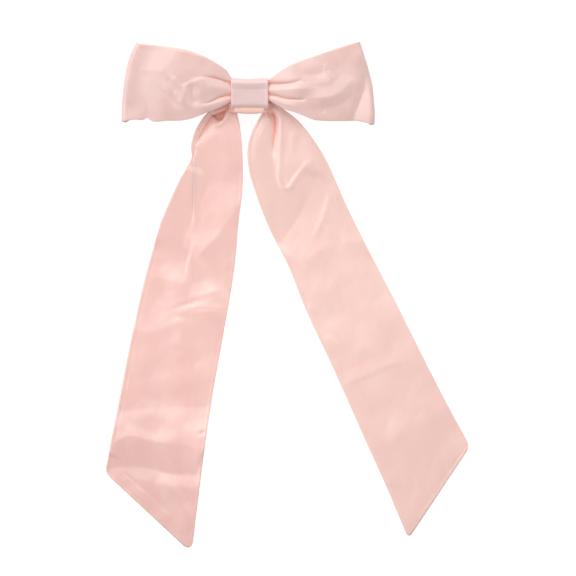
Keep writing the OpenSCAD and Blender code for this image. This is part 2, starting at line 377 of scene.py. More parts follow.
def colour_ramp(tree, factor, stops):
    """A colour that goes from the first (place, colour) stop to the second."""
    node = tree.nodes.new("ShaderNodeValToRGB")
    for stop, (place, colour) in zip(node.color_ramp.elements, stops):
        stop.position = place
        stop.color = (*colour, 1)
    link(tree, factor, node.inputs["Fac"])
    return node.outputs["Color"]


def stretched_noise(tree, across, along, detail=2.0, coordinate="UV"):
    """Noise whose grains are across by along millimetres, on the cloth or in the object's space."""
    where = add(tree, "ShaderNodeTexCoord").outputs[coordinate]
    per_mm = UV_PER_MM if coordinate == "UV" else MM
    fine_across, fine_along = 1 / (per_mm * across), 1 / (per_mm * along)
    mapping = add(tree, "ShaderNodeMapping")
    mapping.inputs["Scale"].default_value = (fine_across, fine_along, fine_across)
    link(tree, where, mapping.inputs["Vector"])
    noise = add(tree, "ShaderNodeTexNoise", Scale=1.0, Detail=detail, Roughness=0.55)
    link(tree, mapping.outputs["Vector"], noise.inputs["Vector"])
    return noise.outputs["Fac"]


def math_node(tree, operation, a, b):
    """The result of an operation on two numbers or outputs."""
    node = add(tree, "ShaderNodeMath", operation=operation)
    for socket, value in zip(node.inputs, (a, b)):
        if isinstance(value, (int, float)):
            socket.default_value = value
        else:
            link(tree, value, socket)
    return node.outputs[0]


def mixed(tree, a, b, share):
    """One value's share, and the other value for the rest."""
    return math_node(tree, "ADD", math_node(tree, "MULTIPLY", a, share),
                     math_node(tree, "MULTIPLY", b, 1 - share))


def map_range(tree, value, source, target=(0.0, 1.0), smooth=False):
    """Takes the source range of a value to the target range."""
    node = add(tree, "ShaderNodeMapRange", interpolation_type="SMOOTHSTEP" if smooth else "LINEAR")
    for socket, number in zip(("From Min", "From Max", "To Min", "To Max"), (*source, *target)):
        node.inputs[socket].default_value = number
    link(tree, value, node.inputs["Value"])
    return node.outputs["Result"]


def set_inputs(node, values):
    for socket, value in values.items():
        node.inputs[socket].default_value = value


def roughen(tree, shader, value, low, high):
    """Lets the roughness go from low to high with a value of 0 to 1."""
    link(tree, map_range(tree, value, (0.0, 1.0), (low, high)), shader.inputs["Roughness"])


def emboss(tree, shader, height, strength, depth_mm):
    """Bumps the surface with a height of 0 to 1."""
    bump = add(tree, "ShaderNodeBump", Strength=strength, Distance=depth_mm * MM)
    link(tree, height, bump.inputs["Height"])
    link(tree, bump.outputs["Normal"], shader.inputs["Normal"])


def painted_fold_glow(tree, colour):
    """The colour, turned to a warm pink where the cloth is hidden from the sky: a painted glow of
    bounced light in folds and hollows, found by ambient occlusion.
    """
    open_sky = add(tree, "ShaderNodeAmbientOcclusion", samples=8)
    open_sky.inputs["Distance"].default_value = 7 * MM
    warm = add(tree, "ShaderNodeMix", data_type="RGBA")
    link(tree, map_range(tree, open_sky.outputs["AO"], (0.85, 0.25)), warm.inputs["Factor"])
    link(tree, colour, warm.inputs[6])
    # painted bounce light: the warm pink that folds and hollows turn to
    warm.inputs[7].default_value = (1.0, 0.58, 0.46, 1)
    return warm.outputs[2]


def painted_end_shade(tree, colour, share):
    """The colour, scaled by a share at the end of a long piece and in full further up: painted shade
    where the light falls off toward the tail ends.
    """
    place = add(tree, "ShaderNodeSeparateXYZ")
    link(tree, add(tree, "ShaderNodeTexCoord").outputs["UV"], place.inputs[0])
    toned = add(tree, "ShaderNodeVectorMath", operation="SCALE")
    link(tree, colour, toned.inputs[0])
    # painted shade: the colour's share falls toward the tail's end
    worn = map_range(tree, place.outputs["Y"], (0.15, 0.9), (share, 1.0), smooth=True)
    link(tree, worn, toned.inputs["Scale"])
    return toned.outputs["Vector"]


def satin(name, light, deep, end_colour_kept=1.0):
    """Pale satin: a fine warp with slubs, soft sheen, and a painted warm glow of bounced light in its
    folds.

    The last argument is the share of its colour that the end of a long piece keeps, as painted shade
    where the light falls off.
    """
    material, tree, shader = new_material(name)
    slub = stretched_noise(tree, 0.8, 11.0, 3.0)
    cross = stretched_noise(tree, 2.4, 0.5, 2.0)
    cloud = stretched_noise(tree, 17.0, 26.0, 1.0)
    grain = mixed(tree, slub, cross, 0.7)
    body = colour_ramp(tree, mixed(tree, grain, cloud, 0.45), [(0.32, deep), (0.68, light)])
    colour = painted_end_shade(tree, painted_fold_glow(tree, body), end_colour_kept)
    link(tree, colour, shader.inputs["Base Color"])
    roughen(tree, shader, grain, 0.32, 0.44)
    emboss(tree, shader, grain, 0.28, 0.12)
    set_inputs(shader, {
        "IOR": 2.2,
        "Sheen Weight": 0.3,
        "Sheen Roughness": 0.4,
        "Sheen Tint": (1.0, 0.9, 0.88, 1),
        "Subsurface Weight": 0.25,
        "Subsurface Radius": (1.0, 0.42, 0.32),
        "Subsurface Scale": 3 * MM,
    })
    return material


def thread_material():
    material, tree, shader = new_material("sewing_thread")
    fibre = stretched_noise(tree, 0.12, 0.5, 3.0, "Object")
    colour = colour_ramp(tree, fibre, [(0.3, (0.66, 0.4, 0.36)), (0.7, (0.86, 0.6, 0.56))])
    link(tree, colour, shader.inputs["Base Color"])
    emboss(tree, shader, fibre, 0.5, 0.05)
    set_inputs(shader, {"Roughness": 0.5, "Sheen Weight": 0.4})
    return material


def felt_material():
    material, tree, shader = new_material("pink_felt")
    fuzz = stretched_noise(tree, 0.35, 0.35, 6.0, "Object")
    cloud = stretched_noise(tree, 3.0, 3.0, 3.0, "Object")
    tone = mixed(tree, fuzz, cloud, 0.6)
    colour = colour_ramp(tree, tone, [(0.3, (0.62, 0.37, 0.33)), (0.7, (0.84, 0.58, 0.54))])
    link(tree, colour, shader.inputs["Base Color"])
    emboss(tree, shader, fuzz, 0.9, 0.3)
    set_inputs(shader, {"Roughness": 0.95, "Sheen Weight": 0.6})
    return material


def nickel(name, roughness):
    """Bright nickel plate with fine drawing marks along the clip and faint handling marks."""
    material, tree, shader = new_material(name)
    drawn = stretched_noise(tree, 12.0, 0.12, 4.0, "Object")
    marks = stretched_noise(tree, 5.0, 5.0, 5.0, "Object")
    colour = colour_ramp(tree, marks, [(0.3, (0.56, 0.55, 0.53)), (0.7, (0.72, 0.71, 0.69))])
    link(tree, colour, shader.inputs["Base Color"])
    set_inputs(shader, {"Metallic": 1.0})
    roughen(tree, shader, marks, roughness - 0.07, roughness + 0.1)
    emboss(tree, shader, drawn, 0.12, 0.04)
    return material


# Both tails are one satin: the left tail's copy is painted darker and redder with more painted shade at
# its end, the right tail's copy paler, as painted light.
LEFT_TAIL_SATIN = satin("pink_satin_left_tail", (0.965, 0.61, 0.55), (0.91, 0.55, 0.49), 0.86)
RIGHT_TAIL_SATIN = satin("pink_satin_right_tail", (0.96, 0.645, 0.582), (0.905, 0.585, 0.522), 0.93)
# The strip under the knot gets a brighter, warmer copy of the satin: painted light where the knot
# shades it.
STRIP_SATIN = satin("pink_satin_fold", (0.985, 0.615, 0.525), (0.945, 0.555, 0.47))
# The bow's copy of the satin is painted darker than the tails': painted shade on the raised loops and
# waist.
BOW_SATIN = satin("pink_satin_bow_shaded", (0.80, 0.535, 0.49), (0.74, 0.475, 0.435))
# The knot's copy is painted darker and greyer: painted shade and a painted reflection of the dim sky
# overhead.
KNOT_SATIN = satin("pink_satin_knot", (0.77, 0.54, 0.52), (0.715, 0.48, 0.465))
THREAD = thread_material()
FELT = felt_material()
PLATE = nickel("nickel_plate", 0.26)
SPRING = nickel("spring_steel", 0.32)


# ---------------------------------------------------------------- bow loops


def coons(bottom, top, inner, outer, s, t):
    """A flat patch between four given edges. s runs out from the knot and t runs up."""
    s, t = np.meshgrid(s, t, indexing="ij")
    s1, t1 = s[..., None], t[..., None]
    ruled_t = (1 - t1) * bottom(s) + t1 * top(s)
    ruled_s = (1 - s1) * inner(t) + s1 * outer(t)
    corners = (
        (1 - s1) * (1 - t1) * inner(0.0)
        + s1 * (1 - t1) * outer(0.0)
        + (1 - s1) * t1 * inner(1.0)
        + s1 * t1 * outer(1.0)
    )
    return ruled_t + ruled_s - corners


def edge_of_panel(points, inset, knot_inset, knot_in, tip):
    """A loop panel's upper or lower edge, from under the knot to the panel's tip.

    An inset above 0 moves the edge up.
    """
    edge = [(x, y + inset) for x, y in points]
    return spline([(knot_in, points[0][1] + knot_inset)] + edge + [tuple(tip)])


def loop_panel(bottom, top, end_line, knot_in, insets, heights, s, t):
    """A loop's front or back panel, with its height at each share of its length."""
    inset, low_inset, high_inset = insets
    low_edge = edge_of_panel(bottom, inset, low_inset, knot_in, end_line(0.0))
    high_edge = edge_of_panel(top, -inset, -high_inset, knot_in, end_line(1.0))
    knot_line = spline([(knot_in, bottom[0][1] + low_inset), (knot_in, top[0][1] - high_inset)])
    flat = coons(low_edge, high_edge, knot_line, end_line, s, t)
    height = blend_heights(s, heights)[:, None, None]
    return np.concatenate([flat, np.broadcast_to(height, (*flat.shape[:2], 1))], -1)


def rolled_end(ends, out, front_z, mid_z, roll_out, roll_up):
    """The half turn of cloth that joins a loop's front panel to its back panel."""
    roll = []
    for angle in np.radians(np.linspace(90, -90, 22)[1:-1]):
        place = ends + out * roll_out * math.cos(angle)
        z = np.full(len(ends), mid_z + roll_up * math.sin(angle))
        shift = (front_z - (mid_z + roll_up)) * 0.5 * (1 + math.sin(angle))
        roll.append(np.concatenate([place, (z + shift)[:, None]], -1))
    return np.array(roll)


def loop_cloth(bottom, top, outer, side, folds):
    """The middle surface of a loop: its front panel, its rolled end and its back panel."""
    roll_out, roll_up = 2.2, 8.6
    under_knot = 3.5
    mid_z = 0.5 * LOOP_TOP - 1.0
    front_end, back_end = mid_z + roll_up, mid_z - roll_up
    knot_in = side * (KNOT_X - under_knot)
    s = np.linspace(0, 1, 110)
    t = spaced(52, 0.7)
    edge = spline(outer)
    tangent = unit(np.gradient(edge(t), t, axis=0))
    upward = np.sign(tangent[:, 1])
    out = np.stack([side * np.abs(tangent[:, 1]), -side * tangent[:, 0] * upward], -1)
    ends = edge(t) - out * roll_out

    def end_line(u):
        return np.stack([np.interp(u, t, ends[:, k]) for k in (0, 1)], -1)

    front_heights = [(0, WAIST_HIGH[2] - 2.6), (0.14, WAIST_HIGH[2] - 0.4), (0.36, LOOP_TOP - 2.4),
                     (0.62, LOOP_TOP - 2.4), (0.85, LOOP_TOP - 3.9), (1, front_end)]
    front = loop_panel(bottom, top, end_line, knot_in, (0, 1.5, 2.5), front_heights, s, t)
    crown = 1.4 * np.sin(np.pi * t) * np.sin(np.pi * s)[:, None] - 0.7
    front[..., 2] += crown * ramp(s, 0, 0.3)[:, None] * (1 - ramp(s, 0.8, 1))[:, None]
    folds(front)
    roll = rolled_end(ends, out, front[-1, :, 2], mid_z, roll_out, roll_up)

    back_heights = [(0, WAIST_LOW[2] + 1.2), (0.14, WAIST_LOW[2]), (0.33, 9.6), (0.5, 5.6),
                    (0.72, 2.2), (0.86, back_end - 0.4), (1, back_end)]
    back = loop_panel(bottom, top, end_line, knot_in, (1.6, 2.5, 3.5), back_heights, s, t)
    for y, height in ((-0.55, -1.4), (-0.1, 0.9), (0.4, -1.4)):
        line = [(side * KNOT_X, y * 8), (side * 24, y * 15), (side * 42, y * 26)]
        ridge(back, line, height, (1.4, 4.5), 0.05, 0.6)
    loose = ramp(s, 0.2, 0.5)[:, None] * (1 - ramp(s, 0.9, 1))[:, None]
    undulate(back, 22, 0.25, 11 + int(side), loose)
    return np.concatenate([front, roll, back[::-1]], 0)


def left_folds(front):
    """Pleats of the left loop, which fan out from the knot."""
    wave(front, [(-56, 28), (-38, 25.5), (-24, 19.5)], 1.1, 5, 14, 0.5, 0.3)
    wave(front, [(-71, 14.2), (-64, 14.6), (-57, 14.2), (-52, 11)], 0.4, 7, 5)
    upper = [(-32, 10.3), (-24.5, 10), (-20.4, 9.4), (-15.8, 7.8), (-11, 6.4), (-9, 5.8)]
    lip(front, upper, (0.3, 0.9), 0.5, 3.2, 0.35, 0.0)
    crease(front, upper, (0.8, 2.2), 0.65, 0.3, 0.0)
    wave(front, [(-45, 2.4), (-38.7, 5.2), (-33.4, 7.9), (-28, 9.0), (-23, 9.0)], 0.4, 2.2, 6)
    wave(front, [(-34, 6.5), (-36.8, 1), (-36.2, -4.5), (-31.5, -7.5)], -1.0, 6, 4.5)
    wave(front, [(-41.5, 3.5), (-41.6, 0), (-42.6, -4), (-44.5, -8)], 0.45, 5, 4)
    wave(front, [(-53, 10.5), (-50.6, 6), (-48, 2.3), (-47, -1.5)], -0.55, 2.6, 2.4)
    wave(front, [(-49, 11), (-44.7, 4.5), (-42.3, 1)], 0.5, 1.8, 3.0)
    crease(front, [(-58, 5.5), (-54.7, 0.5), (-50.6, -3.2), (-46, -7.4), (-42, -10)],
           0.55, 1.0, 0.3, 0.3)
    lower = [(-31, -6.4), (-27.7, -6.4), (-24, -5), (-20, -2.7), (-15.8, -1.4), (-11, -0.9), (-9, -0.8)]
    crease(front, lower, (0.8, 2.4), 0.65, 0.25, 0.0)
    lip(front, lower, (0.3, 0.9), 0.5, 3.0, 0.25, 0.0)
    ridge(front, [(-38, 1), (-30, 3), (-20, 3.0), (-10, 2.0)], (0.5, 1.2), (5.2, 2.8), 0.4, 0.0)
    ridge(front, [(-34, -11), (-24, -7.6), (-11, -3.2)], 1.0, 2.4, 0.3, 0.0)
    crease(front, [(-23, -11.6), (-18.6, -9.4), (-15, -7.3), (-10, -5.0)], (0.4, 1.8), 0.6, 0.3, 0.0)
    crease(front, [(-21, -12.4), (-15.5, -9.2), (-10.5, -6.6)], (0.3, 1.2), 0.5, 0.3, 0.0)
    undulate(front, 15, 0.10, 3)


def right_folds(front):
    """Pleats of the right loop."""
    upper = [(9, 6.4), (19.5, 6.4), (26, 6.7), (30.4, 7.5), (34.5, 9.2)]
    lip(front, upper, (0.9, 0.3), 0.5, 3.2, 0.0, 0.35)
    crease(front, upper, (2.2, 0.8), 0.65, 0.0, 0.3)
    wave(front, [(30, 7.3), (36, 8.7), (41.4, 9.4), (46.9, 8.8), (50.6, 6.2), (51.6, 2.5)], 0.12, 3, 6)
    wave(front, [(26, 10.2), (38, 11.4), (46, 12.0), (52, 14)], -0.3, 12, 6, 0.5, 0.25)
    lower = [(9, -0.3), (16.7, -1.4), (23, -3.1), (29.5, -3.8), (36.6, -4.2)]
    crease(front, lower, (2.6, 1.8), 0.65, 0.0, 0.15)
    lip(front, lower, (0.3, 0.2), 0.6, 3.0, 0.0, 0.3)
    wave(front, [(10, 2.2), (22, 2.4), (34, 2.4), (46, 3.0)], (1.2, 0.8), 5, 9, 0.0, 0.5)
    wave(front, [(35, -2.6), (46, -3.4), (54.5, -1.6), (60, 2.5), (64, 7.5), (66, 11.5)],
         1.5, 8, 7, 0.3, 0.2)
    wave(front, [(37, -7.5), (46, -9.2), (57.8, -6.2), (65, -1.6), (70.6, 3.2), (72.6, 8)], -0.7, 6, 8)
    wave(front, [(48.6, 19), (48.2, 14.5)], 0.2, 1.2, 1.8)
    wave(front, [(50, 14.5), (52, 10.8), (54.5, 8.6)], 0.22, 1.5, 2.2)
    wave(front, [(46, 17.5), (46.6, 11)], -0.25, 1.6, 2.2)
    wave(front, [(55, 18.5), (55.6, 12.5)], -0.22, 2.0, 2.0)
    wave(front, [(71.5, 26), (73, 9), (72.3, 2.3), (69.7, -5), (67, -11.4), (65, -18.5)],
         -2.6, 11, 5, 0.4, 0.0)
    crease(front, [(46, -8.5), (46.8, -13.2)], 0.4, 0.7, 0.2, 0.3)
    ridge(front, [(13, -3.8), (24, -7.4), (33, -11.4)], 0.9, 2.2, 0.0, 0.5)
    undulate(front, 15, 0.10, 5)


def make_loops():
    """Both loops, whose outlines start at the knot and end at the flared tips."""
    left = loop_cloth(
        bottom=[(-KNOT_X, -5.6), (-22, -10.4), (-28, -12.8), (-35, -15.6), (-41, -17.2), (-52, -17.7),
                (-62.6, -17.5), (-65, -15.7), (-67.4, -16.9), (-74, -16.9)],
        top=[(-KNOT_X, 10.2), (-14.2, 14.0), (-20, 18.4), (-30, 23.8), (-40, 27.4), (-50, 29.2),
             (-60, 30.4)],
        outer=[(-81.4, -18.0), (-81.2, -7.4), (-80.2, 2.9), (-78.8, 13.1), (-76.2, 23.4),
               (-72.0, 32.4)],
        side=-1, folds=left_folds)
    right = loop_cloth(
        bottom=[(KNOT_X, -4.4), (16, -6.9), (22, -10.2), (28.5, -12.3), (35, -14.7), (40.6, -17.1),
                (46, -17.7), (60, -17.8), (68, -17.6), (74, -19.0)],
        top=[(KNOT_X, 8.8), (16.4, 11.8), (20, 14.5), (25, 17.3), (40, 23.2), (50, 26.6), (60, 30.1)],
        outer=[(79.0, -19.8), (79.2, -12), (78.7, -5), (77.7, 5), (75.4, 15), (72.7, 24), (69.8, 33.0)],
        side=1, folds=right_folds)
    for name, cloth, node in (("satin_loop_left", left, "bow_loop_left"),
                              ("satin_loop_right", right, "bow_loop_right")):
        if name.endswith("left"):
            cloth = cloth[:, ::-1]  # so that its faces look outward, like the right loop's
        piece = doubled(name, cloth, CLOTH_T, BOW_SATIN)
        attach(piece, "bow")
        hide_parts(node)


# ---------------------------------------------------------------- tails


def stations(keys, rows):
    """Points down a tail's left and right edges, in rows evenly spaced down its middle."""
    left, right = np.moveaxis(np.array(keys, float), 1, 0)
    places = run_along((left + right) / 2)
    fine = np.linspace(0, places[-1], rows)
    return curve_at(left, places, fine), curve_at(right, places, fine)


def round_corner(cloth, corner, along_side, along_end, reach):
    """Rounds the sharp corner where a side edge meets the slanted end."""
    corner = np.array(corner, float)
    e1 = unit(np.array(along_side) - corner)
    e2 = unit(np.array(along_end) - corner)
    ab = (cloth[..., :2] - corner) @ np.linalg.inv(np.array([e1, e2]))
    y = 1 - ab[..., 0] / reach
    x = 1 - ab[..., 1] / reach
    near = (x > 0) & (y > 0)
    x, y = np.clip(x, 0, 1), np.clip(y, 0, 1)
    x2, y2 = x * np.sqrt(1 - y * y / 2), y * np.sqrt(1 - x * x / 2)
    moved = corner + (reach * (1 - y2))[..., None] * e1 + (reach * (1 - x2))[..., None] * e2
    cloth[..., :2] = np.where(near[..., None], moved, cloth[..., :2])


def tail_cloth(keys):
    """A flat tail that comes down from the knot and lies on the table."""
    left, right = stations(keys, rows=330)
    u = spaced(56, 0.62)[:, None, None]
    flat = (1 - u) * left[None] + u * right[None]
    y = flat[..., 1]
    path = spline([(-4, GATHER_TOP - 3.0), (-10, 9.4), (-18, 9.6), (-28, 9.8), (-40, 8.9),
                   (-57, 6.6), (-75, 5.0), (-95, 4.0), (-130, 3.2), (-320, 2.8)])
    line = path(np.linspace(0, 1, 1500))
    z = np.interp(-y, -line[:, 0], line[:, 1])
    return np.concatenate([flat, z[..., None]], -1)


# Left and right edge points down each tail, from under the knot to the slanted end
LEFT_KEYS = [
    ((-17, -5), (-9.5, -5)), ((-27, -12), (-8.2, -12)), ((-33.4, -20.8), (-6.4, -20)),
    ((-37.0, -30), (-5.1, -31)), ((-38.4, -41.5), (-4.5, -44)), ((-48, -61), (-4.9, -63)),
    ((-55, -77), (-7, -80)), ((-64.4, -107), (-9.6, -108.5)), ((-75.3, -153), (-17.2, -154.6)),
    ((-83.2, -193), (-24.2, -194)), ((-88, -217), (-28.2, -221)), ((-91, -233), (-32, -250)),
    ((-93, -241.6), (-37.2, -293.5)),
]
RIGHT_KEYS = [
    ((9.5, -4), (15.5, -4)), ((9.4, -9), (20.5, -9)), ((5.0, -17), (29.5, -16)),
    ((1.2, -24), (37, -24.5)), ((-1.6, -36), (47.2, -39.4)), ((-0.6, -49), (54.2, -54)),
    ((3.4, -63), (60.8, -69)), ((12.4, -86), (69, -86)), ((24.3, -109.5), (80, -107.5)),
    ((33.4, -132.5), (91.8, -130)), ((54.4, -178), (115, -176.5)), ((74.9, -224), (131, -207)),
    ((88, -253), (137.6, -219)), ((101.2, -284.5), (140.8, -225)),
]


def left_tail_folds(cloth):
    """The left tail's pleats, from the knot down."""
    crease(cloth, [(-22, -11), (-26.6, -17.2), (-29.7, -22.7), (-32.1, -27.5), (-34.9, -34.5)],
           2.2, 1.4, 0.2, 0.3)
    ridge(cloth, [(-30.5, -15), (-34, -23), (-36.4, -31)], 0.9, 1.5)
    pocket(cloth, [(-25, -13.2), (-21.6, -17.2), (-19.4, -18.2), (-17, -17), (-15.2, -13.5), (-14, -9)],
           4.6, 1.3)
    ridge(cloth, [(-25, -19), (-20, -19.5), (-14.5, -14), (-12.6, -9)], 1.2, 1.5)
    wave(cloth, [(-28, -20), (-20, -31), (-13, -41), (-6, -51)], 1.26, 12, 12)
    wave(cloth, [(-41, -53), (-24, -55), (-2, -59)], -0.4, 14, 16)
    wave(cloth, [(1, -58), (-6, -68), (-13, -80), (-23, -93), (-36, -106)], 2.4, 15, 26, 0.3, 0.12)
    wave(cloth, [(-39, -43), (-45, -56), (-51, -69), (-58, -85), (-63, -99)], 3.6, 18, 4, 0.1, 0.15)
    wave(cloth, [(-32, -119), (-20, -115), (-8, -110)], -0.4, 8, 10)
    wave(cloth, [(-62, -97), (-50, -99), (-37, -102)], (-0.2, -1.1), 10, 20, 0.25, 0.1)
    wave(cloth, [(-72, -112), (-55, -118), (-37, -122)], (0.2, 1.2), 15, 14, 0.25, 0.1)
    wave(cloth, [(-58, -137.5), (-42, -132), (-28, -127.5), (-13, -124.5)], 0.22, 3.4, 2.5)
    wave(cloth, [(-52, -141), (-36, -135.5), (-22, -132.5)], 0.28, 2.8, 4)
    wave(cloth, [(-48, -141), (-30, -139), (-14, -140)], 1.0, 6, 18)
    wave(cloth, [(-46, -141), (-43.5, -152), (-45, -164)], 0.84, 10, 12)
    wave(cloth, [(-80, -149), (-62, -151), (-49, -146), (-42, -139), (-12, -136)],
         1.2, 17, 30, 0.05, 0.05)
    wave(cloth, [(-53, -196), (-40, -200), (-24, -203)], -0.5, 12, 16)
    wave(cloth, [(-90, -231), (-85, -222), (-76.5, -218.3), (-67.5, -220.8), (-56, -223),
                 (-44.5, -223.5), (-28, -230)], 2.1, 30, 14, 0.03, 0.05)
    wave(cloth, [(-95, -203), (-60, -201), (-20, -199)], -1.3, 26, 20, 0.0, 0.0)
    wave(cloth, [(-94, -240), (-73, -238), (-64.6, -239), (-53, -242), (-29, -243)],
         -1.3, 12, 9, 0.05, 0.1)
    wave(cloth, [(-58, -238), (-53, -250), (-46, -258), (-41, -271), (-39, -284)], 0.98, 6, 8)
    dent(cloth, (-31, -216.8), (3.4, 2.0), 20, 0.4)
    crease(cloth, [(-83, -240), (-62, -257.5), (-49.5, -268), (-39, -270.5)], 0.4, 0.9, 0.2, 0.3)
    front_lip = [(-35.0, -34), (-35.2, -41), (-35.3, -49.6), (-35.6, -61.8), (-35.9, -73.9), (-37, -88)]
    pleat(cloth, front_lip, (3.0, 0.8), (1.1, 0.6), 2.2, 0.2, 0.4)
    undulate(cloth, 24, 0.3, 21, ramp(-cloth[..., 1], 60, 110))
    undulate(cloth, 9, 0.05, 22, ramp(-cloth[..., 1], 40, 80))


def right_tail_folds(cloth):
    """The right tail's pleats, from the knot down."""
    crease(cloth, [(12.6, -10), (15.6, -15), (16, -21.5), (15.3, -28), (14.6, -36), (15.4, -48)],
           (5.2, 1.4), (1.5, 2.6), 0.1, 0.4)
    crease(cloth, [(11.2, -8), (11.8, -11.6), (12.6, -16)], 1.8, 0.5, 0.0, 0.4)
    wave(cloth, [(13.5, -14), (9, -23), (5, -33), (4, -46)], 0.5, 6, 5)
    ridge(cloth, [(19, -12), (19.4, -30), (19.2, -46), (19.4, -56), (22, -60), (25.3, -59.4),
                  (28, -55.6), (31, -51.4), (36, -45), (40, -40)], 0.8, 1.5, 0.1, 0.2)
    ridge(cloth, [(27.5, -23), (27.8, -39)], 0.4, 2.5, 0.35, 0.35)
    wave(cloth, [(21, -63), (28, -57), (34, -49.5), (40, -43.5), (47, -40.5)], 2.0, 19, 24)
    wave(cloth, [(44, -48), (39, -61), (34, -72), (28, -82), (22, -91), (16, -99)],
         (-2.2, -1.3), 17, 20, 0.12, 0.1)
    wave(cloth, [(52, -60), (47, -78), (40, -93)], 0.38, 3.2, 3.2)
    wave(cloth, [(55, -93), (42, -101.5), (29, -110)], 0.5, 14, 8)
    wave(cloth, [(57, -93), (66, -94.5), (76, -94)], 0.4, 7, 9)
    wave(cloth, [(37, -134), (44, -141)], 0.3, 4, 4)
    wave(cloth, [(48, -154), (56, -161.5)], 0.3, 4, 4)
    wave(cloth, [(57, -187), (66, -183), (77, -178.4), (88, -173.5), (102, -170)], 0.45, 9, 2.8)
    wave(cloth, [(84, -226), (104, -212), (126, -202)], 0.8, 14, 22)
    wave(cloth, [(40, -180), (84, -156), (130, -134)], 2.8, 90, 120, 0.0, 0.0)
    crease(cloth, [(137, -226), (120, -250), (103, -275)], 0.35, 0.9, 0.2, 0.3)
    undulate(cloth, 28, 0.32, 31, ramp(-cloth[..., 1], 90, 130))
    undulate(cloth, 9, 0.05, 32, ramp(-cloth[..., 1], 60, 100))


def make_tails():
    """Both tails, from under the knot to their slanted ends, lying on the table."""
    table_gap = 0.05
    left = tail_cloth(LEFT_KEYS)
    left_tail_folds(left)
    round_corner(left, (-93, -241.6), (-91, -232), (-37.2, -293.5), 5.0)
    round_corner(left, (-37.2, -293.5), (-32, -250), (-93, -241.6), 8.0)
    right = tail_cloth(RIGHT_KEYS)
    right_tail_folds(right)
    round_corner(right, (140.8, -225), (137.6, -219), (101.2, -284.5), 4.5)
    round_corner(right, (101.2, -284.5), (88, -253), (140.8, -225), 4.5)
    for name, cloth, body, satin_look in (
            ("satin_tail_left", left, "left_tail", LEFT_TAIL_SATIN),
            ("satin_tail_right", right, "right_tail", RIGHT_TAIL_SATIN)):
        cloth[..., 2] = np.maximum(cloth[..., 2], 0.5 * CLOTH_T + table_gap)
        piece = doubled(name, cloth[:, ::-1], CLOTH_T, satin_look, seam=0.25)
        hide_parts(name.replace("satin_", ""))
        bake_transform(piece)


# ---------------------------------------------------------------- knot


def rounded_ring(length, low, high, radius, count=96):
    """A closed path in YZ round a box with rounded corners, evenly spaced."""
    half = length / 2
    corners = [(half - radius, high - radius, 0), (radius - half, high - radius, 90),
               (radius - half, low + radius, 180), (half - radius, low + radius, 270)]
    points = []
    for y, z, start in corners:
        for a in np.radians(np.linspace(start, start + 90, 9)):
            points.append((y + radius * math.cos(a), z + radius * math.sin(a)))
    points.append(points[0])
    points = np.array(points)
    run = run_along(points)
    return resample(points, run, np.linspace(0, run[-1], count, endpoint=False))


def ring_in_box(low, high, gap, radius, count=96):
    """A rounded ring about the X axis, a gap inside a box."""
    return rounded_ring(high[1] - low[1] - 2 * gap, low[2] + gap, high[2] - gap, radius, count)


def make_knot():
    """The band round the waist: doubled satin whose folded edges are a little proud."""
    width = BAND_HIGH[0] - BAND_LOW[0]
    x = spaced(width, 0.5, 1.4) * width + BAND_LOW[0]
    centre = 0.5 * (BAND_LOW + BAND_HIGH)[1:]
    ring = ring_in_box(BAND_LOW, BAND_HIGH, 0.5 * CLOTH_T, 3.2) + [centre[0], 0]
    pull = 0.55 * np.cos(np.pi * x / width)
    cloth = np.zeros((len(x), len(ring), 3))
    cloth[..., 0] = x[:, None]
    cloth[..., 1:] = ring - unit(ring - centre) * pull[:, None, None]
    front = ramp(ring[:, 1], centre[1] + 1.5, centre[1] + 3.2)
    groove_y, fold_y = 2.6, -7.6
    cloth[..., 2] -= 0.2 * bell(cloth[..., 1] - groove_y, 1.7) * front
    cloth[..., 2] += 0.3 * bell(cloth[..., 1] - fold_y, 0.9) * front
    edge = np.minimum(x - x[0], x[-1] - x)
    half = 0.5 * CLOTH_T * round_half(edge, 0.8)
    hem = 0.16 * bell(edge - 1.0, 0.6) * (x > 0)  # at the right edge only
    around = np.roll(cloth, -1, 1) - np.roll(cloth, 1, 1)
    normal = unit(np.cross(around, (1, 0, 0)))
    outer = cloth + normal * (half + hem)[:, None, None]
    inner = cloth - normal * half[:, None, None]
    turn = np.linspace(0, 2 * (width + 10), len(ring), endpoint=False)
    uv = np.stack(np.broadcast_arrays(turn, x[:, None]), -1)
    piece = shell("knot_wrap", outer, inner, KNOT_SATIN, uv, ring=True)
    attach(piece, "bow")
    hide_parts("knot_band")


def make_waist():
    """The gathered middle of the bow strip, seen at the open sides of the knot."""
    gap = 0.4
    x = np.linspace(WAIST_LOW[0] + gap, WAIST_HIGH[0] - gap, 30)
    ring = ring_in_box(WAIST_LOW, WAIST_HIGH, gap, 2.2, 120)
    out = ring - ring.mean(0)
    angle = np.arctan2(out[:, 1], out[:, 0])
    gathers = 0.25 * np.cos(17 * angle) + 0.15 * np.cos(9 * angle + 1)
    ring = ring + unit(out) * (gathers - 0.35)[:, None]
    verts = [(place, y, z) for place in x for y, z in ring]
    count = len(ring)
    faces = [(i * count + j, (i + 1) * count + j, (i + 1) * count + (j + 1) % count,
              i * count + (j + 1) % count) for i in range(len(x) - 1) for j in range(count)]
    faces.append(tuple(range(count)))
    faces.append(tuple(range(len(x) * count - 1, (len(x) - 1) * count - 1, -1)))
    piece = make_mesh("waist_gathers", verts, faces, BOW_SATIN)
    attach(piece, "bow")
    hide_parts("bow_waist")


